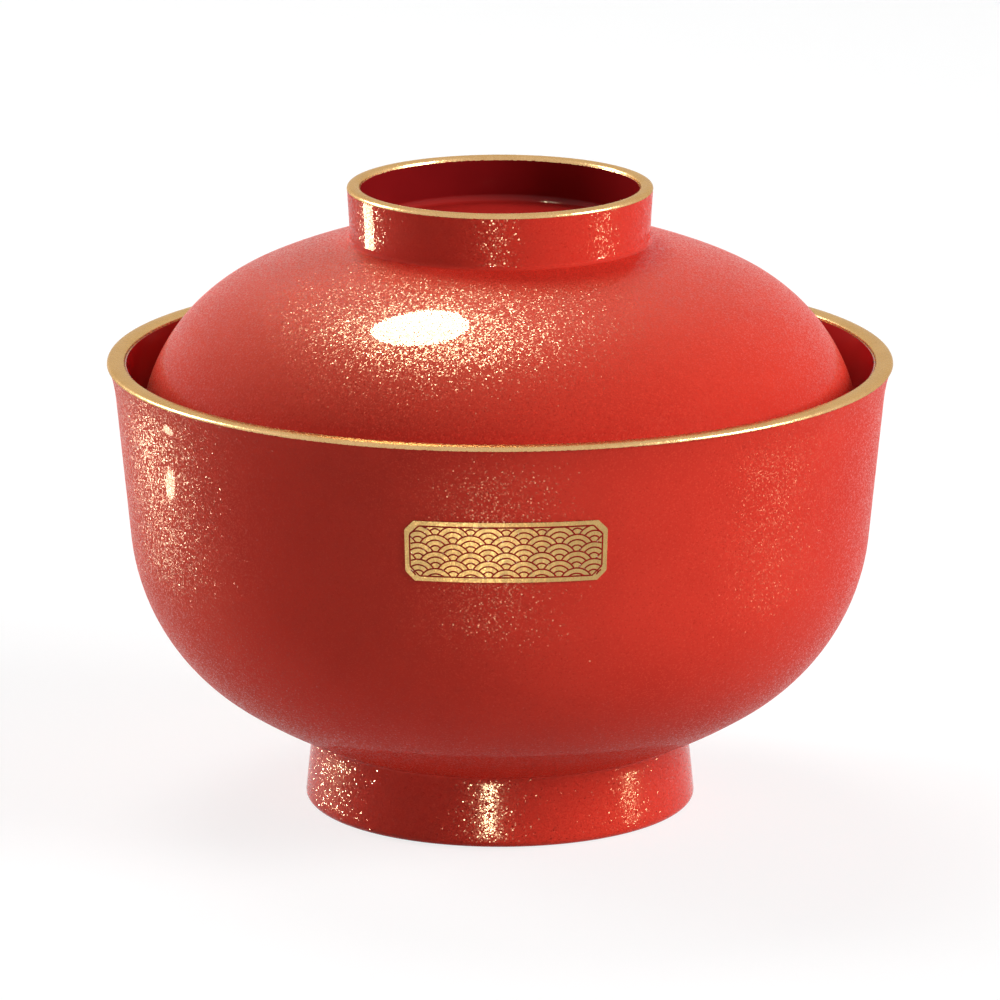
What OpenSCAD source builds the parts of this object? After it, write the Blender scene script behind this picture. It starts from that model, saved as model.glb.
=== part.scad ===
// Lacquer soup bowl with a domed lid that sits inside the lip.
// Sizes are in millimetres. The bowl stands on its foot at z = 0 and turns about the z axis.
// The front, where the gold panel lies, faces -y.
// Each wall is turned wood between two coats of lacquer. A thin bond line parts the layers.

/* [Bowl] */
// Outer diameter of the lip
rim_d = 120; // [104:1:136]
// Height of the lip above the table
bowl_h = 69.6; // [62:0.1:80]
// Finished thickness of the wall
wall_t = 2.6; // [2:0.1:4]
// Lean of the wall from upright, in degrees
wall_lean = 5.5; // [3:0.1:9]
// Height of the flare under the lip
lip_h = 6; // [4:0.1:8]
// Radius of the flare under the lip
lip_r = 25; // [18:0.5:50]
// Outer radius of the belly, between wall and base
belly_r = 33.3; // [26:0.1:38]
// Outer radius of the dished base
base_r = 76; // [68:0.5:90]
// Height of the base's lowest point, were it not cut off inside the foot
base_pole_z = 5; // [3:0.1:6.5]
// Radius of the hollow's belly
hollow_belly_r = 28; // [22:0.1:33]
// Radius of the hollow's dished floor
hollow_r = 90; // [70:1:120]
// Finished thickness of the floor, from the hollow to the well under the foot
floor_t = 6; // [5:0.1:9]

/* [Foot] */
// Outer diameter of the foot where it stands
foot_d = 60; // [56:0.5:66]
// Outer diameter of the foot where it meets the bowl
foot_neck_d = 58; // [54:0.5:64]
// Finished thickness of the foot's wall where it stands
foot_wall = 4.5; // [3.6:0.1:6]
// Finished thickness of the foot's wall where it meets the bowl
foot_neck_wall = 3.5; // [3:0.1:5]
// Height of the well under the foot
foot_well_h = 6.5; // [5:0.1:9]
// Rounding of the foot's standing edges
foot_edge_r = 1; // [0.7:0.1:1.5]
// Depth of the foot's tenon in the bowl
foot_tenon_h = 1.5; // [1:0.1:2.5]

/* [Lid] */
// Depth of the lid's edge below the flare of the lip
lid_seat_drop = 6; // [3:0.1:10]
// Clearance round the lid's edge
lid_seat_gap = 0.3; // [0.2:0.05:0.8]
// Finished thickness of the lid
lid_wall_t = 3.2; // [2.6:0.1:4]
// Lean of the lid's skirt from upright, in degrees
lid_lean = 7; // [3:0.1:12]
// Height of the lid's straight skirt
lid_skirt_h = 2.7; // [1.8:0.1:6]
// Outer radius of the lid's shoulder
shoulder_r = 28.1; // [20:0.1:36]
// Outer radius of the lid's crown
crown_r = 94.5; // [84:0.5:130]
// Rounding of the lid's edge
lid_edge_r = 0.8; // [0.6:0.1:1.2]

/* [Grip ring] */
// Outer diameter of the grip at its top
grip_d = 46.6; // [42:0.1:56]
// Outer diameter of the grip where it meets the lid
grip_neck_d = 45.6; // [42:0.1:54]
// Height of the grip above its joint with the lid
grip_h = 8.4; // [6:0.1:12]
// Finished thickness of the grip's wall
grip_wall = 2; // [1.7:0.1:3]
// Finished thickness of the lid at the floor of the grip's well
grip_floor_t = 1.8; // [1.5:0.1:3]
// Depth of the grip's tenon in the lid
grip_tenon_h = 1.2; // [0.8:0.1:1.5]

/* [Gold] */
// Height of the gold bands down the lip and the grip
gold_h = 0.65; // [0.5:0.05:1.5]
// Rounding of the gold bands' edges
gold_edge_r = 0.5; // [0.3:0.05:0.5]
// Length of the gold panel round the wall
panel_w = 30; // [16:0.5:50]
// Height of the gold panel
panel_h = 9.2; // [6:0.1:12]
// Drop from the lip to the top of the gold panel
panel_drop = 11.7; // [9:0.1:14]
// Corner cut of the gold panel
panel_corner = 1.4; // [0.5:0.1:2.5]
// Thickness of the gold panel
panel_t = 0.15; // [0.1:0.01:0.3]
// Gap behind the gold panel
panel_gap = 0.05; // [0.02:0.01:0.1]

/* [Layers] */
// Thickness of a coat of lacquer
coat_t = 0.3; // [0.2:0.05:0.35]
// Bond line between the wood and its coats, and between joined pieces
bond_t = 0.15; // [0.1:0.01:0.2]

/* [Hidden] */
$fn = 180;

// Largest sag of a chord in a turned profile
curve_sag = 0.01;
// Overrun of cuts past the faces that they open
overrun = 1;
// Depth from a finished face to the wood
layer_t = coat_t + bond_t;

lacquer_red = [0.75, 0.16, 0.13];
lining_red = [0.50, 0.07, 0.09];
gold = [0.83, 0.69, 0.40];
wood = [0.76, 0.60, 0.42];

// Points of a round stretch about c, from angle a to angle b.
// A stretch that carries on from another leaves out its own first point.
function arc(c, r, a, b, first = 0) =
    let (n = max(1, ceil(abs(b - a) / (2 * acos(1 - curve_sag / r)))))
    [for (i = [first:n]) c + r * [cos(a + (b - a) * i / n), sin(a + (b - a) * i / n)]];

function reversed(points) = [for (i = [len(points) - 1:-1:0]) points[i]];

function heading(from, to) = atan2(to.y - from.y, to.x - from.x);

// Centre of the round that runs from a wall into a dish.
// p lies on the line of such centres, up is that line's direction, and reach is the
// distance between the round's centre and the dish's.
function round_centre(p, up, dish_c, reach) =
    let (d = p - dish_c)
    let (b = d * up)
    p - (b + sqrt(b ^ 2 - d * d + reach ^ 2)) * up;

// Bowl profile: dished base, round belly, leaning wall and flared lip
rim_r = rim_d / 2;
wall_up = [sin(wall_lean), cos(wall_lean)];
wall_in = [-cos(wall_lean), sin(wall_lean)];
lip_end_a = asin(sin(wall_lean) + lip_h / lip_r);
lip_root = [rim_r - lip_r * (cos(wall_lean) - cos(lip_end_a)), bowl_h - lip_h];
lip_c = lip_root - lip_r * wall_in;
base_c = [0, base_pole_z + base_r];
belly_c = round_centre(lip_root + belly_r * wall_in, wall_up, base_c, base_r - belly_r);
hollow_c = [0, foot_well_h + floor_t + hollow_r];
hollow_belly_c = round_centre(
    lip_root + (wall_t + hollow_belly_r) * wall_in, wall_up, hollow_c, hollow_r - hollow_belly_r);
// Top of the layers under the gold band
lip_layer_z = bowl_h - gold_h - bond_t;

// Angle and radius of the flared lip at height z, at depth d under the outer face
function lip_a(z, d) = 180 - asin((z - lip_c.y) / (lip_r + d));
function lip_radius(z, d) = lip_c.x + (lip_r + d) * cos(lip_a(z, d));

// Radius of the leaning wall at height z, at depth d under the outer face
function wall_radius(z, d) = lip_root.x - (lip_root.y - z) * tan(wall_lean) - d / cos(wall_lean);

// Dish and the round that carries on from it, from radius start_r up to a wall that leans.
// A start beyond the dish falls on the round.
function dish_curve(dish_c, dish_r, round_c, round_r, start_r) =
    let (meet_a = heading(dish_c, round_c))
    start_r < dish_r * cos(meet_a)
    ? concat(
        arc(dish_c, dish_r, -acos(start_r / dish_r), meet_a),
        arc(round_c, round_r, meet_a, -wall_lean, first = 1))
    : arc(round_c, round_r, -acos((start_r - round_c.x) / round_r), -wall_lean);

// Outer profile at depth d, from the base at radius start_r up to the gold band
function bowl_outside(d, start_r) = concat(
    dish_curve(base_c, base_r - d, belly_c, belly_r - d, start_r),
    arc(lip_c, lip_r + d, 180 - wall_lean, lip_a(lip_layer_z, d)));

// Inner profile at depth d under the inner face, from the axis up to the gold band
function bowl_inside(d) = concat(
    dish_curve(hollow_c, hollow_r + d, hollow_belly_c, hollow_belly_r + d, 0),
    arc(lip_c, lip_r + wall_t - d, 180 - wall_lean, lip_a(lip_layer_z, wall_t - d)));

// Height of the bowl's outer face under the belly at radius r
function base_z(r) = dish_curve(base_c, base_r, belly_c, belly_r, r)[0].y;

// Foot profile, with a tenon that fits a groove round a spigot under the bowl
foot_r = foot_d / 2;
foot_in_r = foot_r - foot_wall;
foot_neck_r = foot_neck_d / 2;
foot_neck_in_r = foot_neck_r - foot_neck_wall;
foot_joint_z = base_z(foot_neck_r);
foot_tenon_r = foot_neck_r - layer_t;
foot_tenon_in_r = foot_neck_in_r + layer_t;
foot_tenon_z = foot_joint_z + foot_tenon_h;
foot_groove_r = foot_tenon_r + bond_t;
foot_groove_in_r = foot_tenon_in_r - bond_t;
foot_groove_z = foot_tenon_z + bond_t;

// Inner radius of the foot at height z
function foot_bore(z) =
    foot_in_r + (foot_neck_in_r - foot_in_r) * (z - foot_edge_r) / (foot_joint_z - foot_edge_r);

// Foot section at depth d, round its standing edges
function foot_edges(d) = concat(
    arc([foot_r - foot_edge_r, foot_edge_r], foot_edge_r - d, 0, -90),
    arc([foot_in_r + foot_edge_r, foot_edge_r], foot_edge_r - d, -90, -180));

// Lid profile: rounded edge, straight skirt, round shoulder and dished crown
lid_edge_z = lip_root.y - lid_seat_drop;
lid_edge = [wall_radius(lid_edge_z, wall_t) - lid_seat_gap, lid_edge_z];
lid_up = [-sin(lid_lean), cos(lid_lean)];
lid_in = [-cos(lid_lean), -sin(lid_lean)];
shoulder_c = lid_edge + lid_skirt_h * lid_up + shoulder_r * lid_in;
crown_c = [0, shoulder_c.y - sqrt((crown_r - shoulder_r) ^ 2 - shoulder_c.x ^ 2)];
crown_a = heading(crown_c, shoulder_c);
lid_edge_c = [skirt_radius(lid_edge_z + lid_edge_r, lid_edge_r), lid_edge_z + lid_edge_r];

// Radius of the lid's skirt at height z, at depth d under the outer face
function skirt_radius(z, d) = lid_edge.x - (z - lid_edge.y) * tan(lid_lean) - d / cos(lid_lean);

// Outer profile at depth d, from under the edge up to the crown at angle end_a
function lid_outside(d, end_a) = concat(
    arc(lid_edge_c, lid_edge_r - d, -90, lid_lean),
    arc(shoulder_c, shoulder_r - d, lid_lean, crown_a),
    arc(crown_c, crown_r - d, crown_a, end_a, first = 1));

// Inner profile at depth d under the outer face, from height start_z up to the axis
function lid_inside(d, start_z) = concat(
    [[skirt_radius(start_z, d), start_z]],
    arc(shoulder_c, shoulder_r - d, lid_lean, crown_a),
    arc(crown_c, crown_r - d, crown_a, 90, first = 1));

// Grip ring, with a tenon that fits a groove and a spigot on the lid
grip_r = grip_d / 2;
grip_neck_r = grip_neck_d / 2;
grip_joint_z = crown_z(grip_neck_r);
grip_top_z = grip_joint_z + grip_h;
grip_layer_z = grip_top_z - gold_h - bond_t;
grip_floor_z = crown_c.y + crown_r - lid_wall_t + grip_floor_t;
grip_tenon_r = grip_neck_r - layer_t;
grip_bore_r = grip_neck_r - grip_wall + layer_t;
grip_tenon_z = grip_joint_z - grip_tenon_h;
grip_groove_r = grip_tenon_r + bond_t;
grip_groove_z = grip_tenon_z - bond_t;
grip_spigot_r = grip_bore_r - bond_t;
grip_a = acos(grip_neck_r / crown_r);

// Height of the lid's outer face at radius r, near the crown
function crown_z(r) = crown_c.y + sqrt(crown_r ^ 2 - r ^ 2);

// Outer radius of the grip at height z
function grip_radius(z) = grip_neck_r + (grip_r - grip_neck_r) * (z - grip_joint_z) / grip_h;

// Gold panel on the straight part of the wall, centred on the front
panel_top_z = bowl_h - panel_drop;
panel_low_z = panel_top_z - panel_h;
panel_a = panel_w / wall_radius(panel_top_z, 0) * 180 / PI;
panel_half_w = wall_radius(panel_low_z, 0) * sin(panel_a / 2);

// Ring of gold over the end of a wall, rounded at its two top edges
module gold_band(top_z, top_r, top_in_r, low_r, low_in_r) {
    rotate_extrude() polygon(concat(
        [[low_r, top_z - gold_h]],
        arc([top_r - gold_edge_r, top_z - gold_edge_r], gold_edge_r, 0, 90),
        arc([top_in_r + gold_edge_r, top_z - gold_edge_r], gold_edge_r, 90, 180),
        [[low_in_r, top_z - gold_h]]));
}

// Turned wooden body of the bowl, grooved underneath for the foot
module bowl_core() {
    under_z = foot_well_h + layer_t;
    color(wood) rotate_extrude() polygon(concat(
        bowl_outside(layer_t, foot_groove_r),
        reversed(bowl_inside(layer_t)),
        [[0, under_z], [foot_bore(under_z) + coat_t, under_z], [foot_groove_in_r, foot_joint_z],
         [foot_groove_in_r, foot_groove_z], [foot_groove_r, foot_groove_z]]));
}

// Red lacquer with gold flakes on the outside of the bowl
module bowl_coat() {
    color(lacquer_red) rotate_extrude() polygon(concat(
        bowl_outside(0, foot_groove_r),
        reversed(bowl_outside(coat_t, foot_groove_r))));
}

// Plain red lacquer that lines the hollow
module bowl_lining() {
    color(lining_red) rotate_extrude() polygon(concat(
        bowl_inside(0),
        reversed(bowl_inside(coat_t))));
}

// Gold over the lip
module rim_band() {
    low_z = bowl_h - gold_h;
    color(gold) gold_band(
        bowl_h, rim_r, lip_radius(bowl_h, wall_t), lip_radius(low_z, 0), lip_radius(low_z, wall_t));
}

// Turned wooden foot
module foot_ring() {
    color(wood) rotate_extrude() polygon(concat(
        [[foot_tenon_r, foot_tenon_z], [foot_tenon_r, foot_joint_z]],
        foot_edges(layer_t),
        [[foot_tenon_in_r, foot_joint_z], [foot_tenon_in_r, foot_tenon_z]]));
}

// Red lacquer round the foot, from the joint under its edge to the well
module foot_coat() {
    coat_in_r = foot_neck_r - coat_t;
    well_z = foot_well_h - bond_t;
    color(lacquer_red) rotate_extrude() polygon(concat(
        [[foot_neck_r, base_z(foot_neck_r) - bond_t]],
        foot_edges(0),
        [[foot_bore(well_z), well_z], [foot_bore(well_z) + coat_t, well_z]],
        reversed(foot_edges(coat_t)),
        [[coat_in_r, base_z(coat_in_r) - bond_t]]));
}

// Plain red lacquer on the ceiling of the well under the foot
module base_coat() {
    top_z = foot_well_h + coat_t;
    color(lining_red) rotate_extrude() polygon([
        [0, foot_well_h], [foot_bore(foot_well_h) + coat_t, foot_well_h],
        [foot_bore(top_z) + coat_t, top_z], [0, top_z]]);
}

// Gold panel with cut corners, bent to the wall
module gold_panel() {
    back_d = -panel_gap;
    face_d = -panel_gap - panel_t;
    color(gold) intersection() {
        rotate([0, 0, -90 - panel_a / 2]) rotate_extrude(angle = panel_a) polygon([
            [wall_radius(panel_low_z, back_d), panel_low_z],
            [wall_radius(panel_low_z, face_d), panel_low_z],
            [wall_radius(panel_top_z, face_d), panel_top_z],
            [wall_radius(panel_top_z, back_d), panel_top_z]]);
        rotate([90, 0, 0]) linear_extrude(height = rim_r + overrun) panel_outline();
    }
}

// Front view of the gold panel, a little wider than the bent plate
module panel_outline() {
    side_x = panel_half_w + overrun;
    cut_w = panel_corner + overrun;
    polygon([
        [-side_x, panel_low_z + cut_w], [panel_corner - panel_half_w, panel_low_z],
        [panel_half_w - panel_corner, panel_low_z], [side_x, panel_low_z + cut_w],
        [side_x, panel_top_z - cut_w], [panel_half_w - panel_corner, panel_top_z],
        [panel_corner - panel_half_w, panel_top_z], [-side_x, panel_top_z - cut_w]]);
}

// Turned wooden dome of the lid, grooved on top for the grip
module lid_core() {
    groove_a = acos(grip_groove_r / (crown_r - layer_t));
    color(wood) rotate_extrude() polygon(concat(
        lid_outside(layer_t, groove_a),
        [[grip_groove_r, grip_groove_z], [grip_spigot_r, grip_groove_z],
         [grip_spigot_r, grip_floor_z - layer_t], [0, grip_floor_z - layer_t]],
        reversed(lid_inside(lid_wall_t - layer_t, lid_edge_z + layer_t))));
}

// Red lacquer with gold flakes on the outside of the lid, wrapped under its edge
module lid_coat() {
    edge_in_r = skirt_radius(lid_edge_z, lid_wall_t);
    color(lacquer_red) rotate_extrude() polygon(concat(
        [[edge_in_r, lid_edge_z]],
        lid_outside(0, grip_a),
        reversed(lid_outside(coat_t, grip_a)),
        [[edge_in_r, lid_edge_z + coat_t]]));
}

// Plain red lacquer that lines the lid
module lid_lining() {
    start_z = lid_edge_z + layer_t;
    color(lining_red) rotate_extrude() polygon(concat(
        lid_inside(lid_wall_t, start_z),
        reversed(lid_inside(lid_wall_t - coat_t, start_z))));
}

// Turned wooden ring that the lid is lifted by
module grip_ring() {
    top_r = grip_radius(grip_layer_z);
    color(wood) rotate_extrude() polygon([
        [grip_tenon_r, grip_tenon_z], [grip_tenon_r, grip_joint_z], [top_r - layer_t, grip_layer_z],
        [top_r - grip_wall + layer_t, grip_layer_z], [grip_bore_r, grip_joint_z], [grip_bore_r, grip_tenon_z]]);
}

// Red lacquer with gold flakes round the outside of the grip
module grip_coat() {
    top_r = grip_radius(grip_layer_z);
    coat_in_r = grip_neck_r - coat_t;
    color(lacquer_red) rotate_extrude() polygon([
        [grip_neck_r, crown_z(grip_neck_r) + bond_t], [top_r, grip_layer_z],
        [top_r - coat_t, grip_layer_z], [coat_in_r, crown_z(coat_in_r) + bond_t]]);
}

// Plain red lacquer cup that lines the grip's well
module grip_lining() {
    low_r = grip_radius(grip_floor_z) - grip_wall;
    top_r = grip_radius(grip_layer_z) - grip_wall;
    color(lining_red) rotate_extrude() polygon([
        [0, grip_floor_z - coat_t], [low_r + coat_t, grip_floor_z - coat_t], [top_r + coat_t, grip_layer_z],
        [top_r, grip_layer_z], [low_r, grip_floor_z], [0, grip_floor_z]]);
}

// Gold over the top of the grip
module grip_band() {
    low_r = grip_radius(grip_top_z - gold_h);
    color(gold) gold_band(grip_top_z, grip_r, grip_r - grip_wall, low_r, low_r - grip_wall);
}

bowl_core();
bowl_coat();
bowl_lining();
rim_band();
foot_ring();
foot_coat();
base_coat();
gold_panel();
lid_core();
lid_coat();
lid_lining();
grip_ring();
grip_coat();
grip_lining();
grip_band();
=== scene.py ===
import math

import bpy
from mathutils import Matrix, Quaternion, Vector


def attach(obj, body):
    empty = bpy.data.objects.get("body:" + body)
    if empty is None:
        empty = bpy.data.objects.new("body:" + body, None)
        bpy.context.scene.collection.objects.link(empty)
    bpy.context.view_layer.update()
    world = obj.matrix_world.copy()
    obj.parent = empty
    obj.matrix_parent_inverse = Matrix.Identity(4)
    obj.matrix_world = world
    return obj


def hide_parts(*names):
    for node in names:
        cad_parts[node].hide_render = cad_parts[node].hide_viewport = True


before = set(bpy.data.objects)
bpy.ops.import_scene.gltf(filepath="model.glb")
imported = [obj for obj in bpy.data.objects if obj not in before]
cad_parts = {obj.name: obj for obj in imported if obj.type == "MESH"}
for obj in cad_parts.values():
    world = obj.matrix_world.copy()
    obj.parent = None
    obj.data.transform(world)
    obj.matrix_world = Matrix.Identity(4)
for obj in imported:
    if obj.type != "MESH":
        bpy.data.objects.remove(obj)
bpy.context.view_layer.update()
scene = bpy.context.scene
scene.view_settings.view_transform = "Standard"
mm = 0.001
print("frame loaded:", ", ".join(sorted(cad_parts)))


# node building helpers, for shader and geometry trees alike

def addNode(tree, kind, inputs=None, **settings):
    node = tree.nodes.new(kind)
    for key, value in settings.items():
        setattr(node, key, value)
    for key, value in (inputs or {}).items():
        socket = node.inputs[key]
        if isinstance(value, bpy.types.NodeSocket):
            tree.links.new(value, socket)
        else:
            socket.default_value = value
    return node


def calc(tree, operation, *values):
    return addNode(tree, "ShaderNodeMath", dict(enumerate(values)), operation=operation).outputs[0]


def vectorCalc(tree, operation, *values):
    return addNode(tree, "ShaderNodeVectorMath", dict(enumerate(values)), operation=operation).outputs[0]


def scaled(tree, vector, factor):
    return addNode(tree, "ShaderNodeVectorMath", {0: vector, "Scale": factor}, operation="SCALE").outputs[0]


def mixColor(tree, factor, first, second):
    node = addNode(tree, "ShaderNodeMix", data_type="RGBA")
    for index, value in ((0, factor), (6, first), (7, second)):
        if isinstance(value, bpy.types.NodeSocket):
            tree.links.new(value, node.inputs[index])
        else:
            node.inputs[index].default_value = value if index == 0 else (*value, 1.0)
    return node.outputs[2]


def startGroup(name, kind, inputs, outputs):
    tree = bpy.data.node_groups.new(name, kind)
    for label, socketType, *value in inputs:
        socket = tree.interface.new_socket(label, in_out="INPUT", socket_type=socketType)
        if value:
            socket.default_value = value[0]
    for label, socketType in outputs:
        tree.interface.new_socket(label, in_out="OUTPUT", socket_type=socketType)
    return tree, addNode(tree, "NodeGroupInput").outputs, addNode(tree, "NodeGroupOutput").inputs


def splitPlace(tree):
    place = addNode(tree, "GeometryNodeInputPosition").outputs[0]
    return addNode(tree, "ShaderNodeSeparateXYZ", {0: place}).outputs


def finishTree(tree, given, put, geometry):
    geometry = addNode(tree, "GeometryNodeRealizeInstances", {"Geometry": geometry}).outputs[0]
    geometry = addNode(tree, "GeometryNodeSetMaterial", {
        "Geometry": geometry, "Material": given["Finish"]}).outputs[0]
    tree.links.new(geometry, put[0])
    return tree


def runTree(piece, tree, values):
    modifier = piece.modifiers.new("shape", "NODES")
    modifier.node_group = tree
    for item in tree.interface.items_tree:
        if item.in_out == "INPUT" and item.name in values:
            modifier[item.identifier] = values[item.name]
    depsgraph = bpy.context.evaluated_depsgraph_get()
    finished = bpy.data.meshes.new_from_object(piece.evaluated_get(depsgraph), depsgraph=depsgraph)
    piece.modifiers.remove(modifier)
    rough = piece.data
    piece.data = finished
    bpy.data.meshes.remove(rough)
    finished.name = piece.name
    print("shaped", piece.name, len(finished.polygons), "faces")
    return piece


def newPiece(name, points, edges=()):
    mesh = bpy.data.meshes.new(name + "Start")
    mesh.from_pydata(points, edges, [])
    piece = bpy.data.objects.new(name, mesh)
    scene.collection.objects.link(piece)
    return piece


diceSpread = 1000.0  # pulls the cell places apart, so that each flake gets a throw of its own


# sprinkled flakes: one random tilt for each, and a lean up the slope they settled on
# Reach is a flake's size in its cell; Gather draws the tilts together and leaves a few far out
def buildFlakeGroup():
    tree, given, put = startGroup(
        "sprinkledFlakes", "ShaderNodeTree",
        [("Flake Size", "NodeSocketFloat", 0.0003), ("Coverage", "NodeSocketFloat", 0.5),
         ("Reach", "NodeSocketFloat", 0.62), ("Tilt", "NodeSocketFloat", 0.1),
         ("Lean", "NodeSocketFloat", 0.0), ("Gather", "NodeSocketFloat", 0.0)],
        [("Mask", "NodeSocketFloat"), ("Shade", "NodeSocketFloat"), ("Normal", "NodeSocketVector")])
    place = addNode(tree, "ShaderNodeTexCoord").outputs["Object"]
    cells = addNode(tree, "ShaderNodeTexVoronoi", {
        "Vector": place, "Scale": calc(tree, "DIVIDE", 1.0, given["Flake Size"])}, voronoi_dimensions="3D")
    dice = addNode(tree, "ShaderNodeTexWhiteNoise", {
        "Vector": scaled(tree, cells.outputs["Position"], diceSpread)}, noise_dimensions="3D")
    chosen = calc(tree, "LESS_THAN", dice.outputs["Value"], given["Coverage"])
    inside = calc(tree, "LESS_THAN", cells.outputs["Distance"], given["Reach"])
    mask = calc(tree, "MULTIPLY", chosen, inside)
    throw = vectorCalc(tree, "ADD", cells.outputs["Color"], dice.outputs["Color"])
    throw = vectorCalc(tree, "SUBTRACT", throw, (1.0, 1.0, 1.0))
    far = addNode(tree, "ShaderNodeVectorMath", {0: throw}, operation="LENGTH").outputs["Value"]
    throw = scaled(tree, throw, calc(tree, "POWER", far, given["Gather"]))
    surface = addNode(tree, "ShaderNodeNewGeometry").outputs["Normal"]
    rise = addNode(tree, "ShaderNodeSeparateXYZ", {0: surface}).outputs[2]
    slope = vectorCalc(tree, "SUBTRACT", (0.0, 0.0, 1.0), scaled(tree, surface, rise))
    slope = vectorCalc(tree, "NORMALIZE", slope)
    turn = vectorCalc(tree, "ADD", scaled(tree, throw, given["Tilt"]), scaled(tree, slope, given["Lean"]))
    normal = vectorCalc(tree, "ADD", surface, scaled(tree, turn, mask))
    shade = addNode(tree, "ShaderNodeSeparateXYZ", {0: cells.outputs["Color"]}).outputs[0]
    tree.links.new(mask, put["Mask"])
    tree.links.new(shade, put["Shade"])
    tree.links.new(vectorCalc(tree, "NORMALIZE", normal), put["Normal"])
    return tree


polishGrain = {
    "cloudDetail": 3.0, "cloudRoughness": 0.55, "cloudLow": 0.3, "cloudHigh": 0.7,
    "rubDetail": 4.0, "rubStretch": 0.18}  # rub marks are long up the wall


# slow clouds of tone from many thin coats, and the dulling of hands and cloths
def buildPolishGroup():
    tree, given, put = startGroup(
        "handPolish", "ShaderNodeTree",
        [("Cloud Scale", "NodeSocketFloat", 45.0), ("Rub Scale", "NodeSocketFloat", 900.0),
         ("Gloss", "NodeSocketFloat", 0.3), ("Rub", "NodeSocketFloat", 0.1)],
        [("Tone", "NodeSocketFloat"), ("Roughness", "NodeSocketFloat")])
    place = addNode(tree, "ShaderNodeTexCoord").outputs["Object"]
    clouds = addNode(tree, "ShaderNodeTexNoise", {
        "Vector": place, "Scale": given["Cloud Scale"], "Detail": polishGrain["cloudDetail"],
        "Roughness": polishGrain["cloudRoughness"]}).outputs[0]
    strokes = addNode(tree, "ShaderNodeMapping", {
        "Vector": place, "Scale": (1.0, 1.0, polishGrain["rubStretch"])}).outputs[0]
    rubbed = addNode(tree, "ShaderNodeTexNoise", {
        "Vector": strokes, "Scale": given["Rub Scale"], "Detail": polishGrain["rubDetail"]}).outputs[0]
    spread = addNode(tree, "ShaderNodeMapRange", {
        "Value": clouds, "From Min": polishGrain["cloudLow"],
        "From Max": polishGrain["cloudHigh"]}).outputs[0]
    tree.links.new(spread, put["Tone"])
    shift = calc(tree, "MULTIPLY", calc(tree, "SUBTRACT", rubbed, 0.5), given["Rub"])
    tree.links.new(calc(tree, "ADD", given["Gloss"], shift), put["Roughness"])
    return tree


flakeGroup = buildFlakeGroup()
polishGroup = buildPolishGroup()


def startMaterial(name):
    material = bpy.data.materials.new(name)
    material.use_nodes = True
    tree = material.node_tree
    tree.nodes.clear()
    return material, tree, addNode(tree, "ShaderNodeOutputMaterial")


def placeGroup(tree, group, values):
    return addNode(tree, "ShaderNodeGroup", values, node_tree=group).outputs


flakeFinish = {
    "red": (0.69, 0.038, 0.022), "deepRed": (0.62, 0.029, 0.017),
    "flake": (0.63, 0.030, 0.017), "paleFlake": (0.69, 0.044, 0.024),
    "bodyRoughness": 0.85, "rub": 0.12, "glint": 0.08, "glintTint": (1.0, 0.84, 0.58),
    "coat": 0.15, "coatRoughness": 0.045, "coatIor": 1.3}


# red lacquer with gold flakes under a clear top coat
def makeFlakeLacquer(name, flakes, flakeRoughness):
    material, tree, out = startMaterial(name)
    speck = placeGroup(tree, flakeGroup, flakes)
    polish = placeGroup(tree, polishGroup, {
        "Gloss": flakeFinish["bodyRoughness"], "Rub": flakeFinish["rub"]})
    ground = mixColor(tree, polish["Tone"], flakeFinish["deepRed"], flakeFinish["red"])
    gold = mixColor(tree, speck["Shade"], flakeFinish["flake"], flakeFinish["paleFlake"])
    rough = addNode(tree, "ShaderNodeMix", {
        0: speck["Mask"], 2: polish["Roughness"], 3: flakeRoughness}).outputs[0]
    shader = addNode(tree, "ShaderNodeBsdfPrincipled", {
        "Base Color": mixColor(tree, speck["Mask"], ground, gold), "Roughness": rough,
        "Normal": speck["Normal"], "Specular IOR Level": flakeFinish["glint"],
        "Specular Tint": (*flakeFinish["glintTint"], 1.0), "Coat Weight": flakeFinish["coat"],
        "Coat Roughness": flakeFinish["coatRoughness"], "Coat IOR": flakeFinish["coatIor"]})
    tree.links.new(shader.outputs[0], out.inputs["Surface"])
    return material


# light and deep tone of each plain lacquer
plainFinish = {
    "lining": ((0.48, 0.024, 0.026), (0.41, 0.018, 0.021)),
    "base": ((0.34, 0.010, 0.010), (0.27, 0.007, 0.008)),
    # painted shade: the well's tones are darker than the lining, standing in for the shade inside the
    # grip's well
    "well": ((0.22, 0.008, 0.009), (0.18, 0.006, 0.007)),
    # painted light: the well floor's tones are a lighter red, standing in for the light that falls on the
    # floor of the well
    "wellFloorLight": ((0.50, 0.024, 0.018), (0.43, 0.018, 0.014)),
    "wave": ((0.36, 0.012, 0.008), (0.28, 0.009, 0.006)),
    "clouds": 70.0, "gloss": 0.4, "rub": 0.1, "coat": 0.4, "coatRoughness": 0.06, "coatIor": 1.3}


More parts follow.
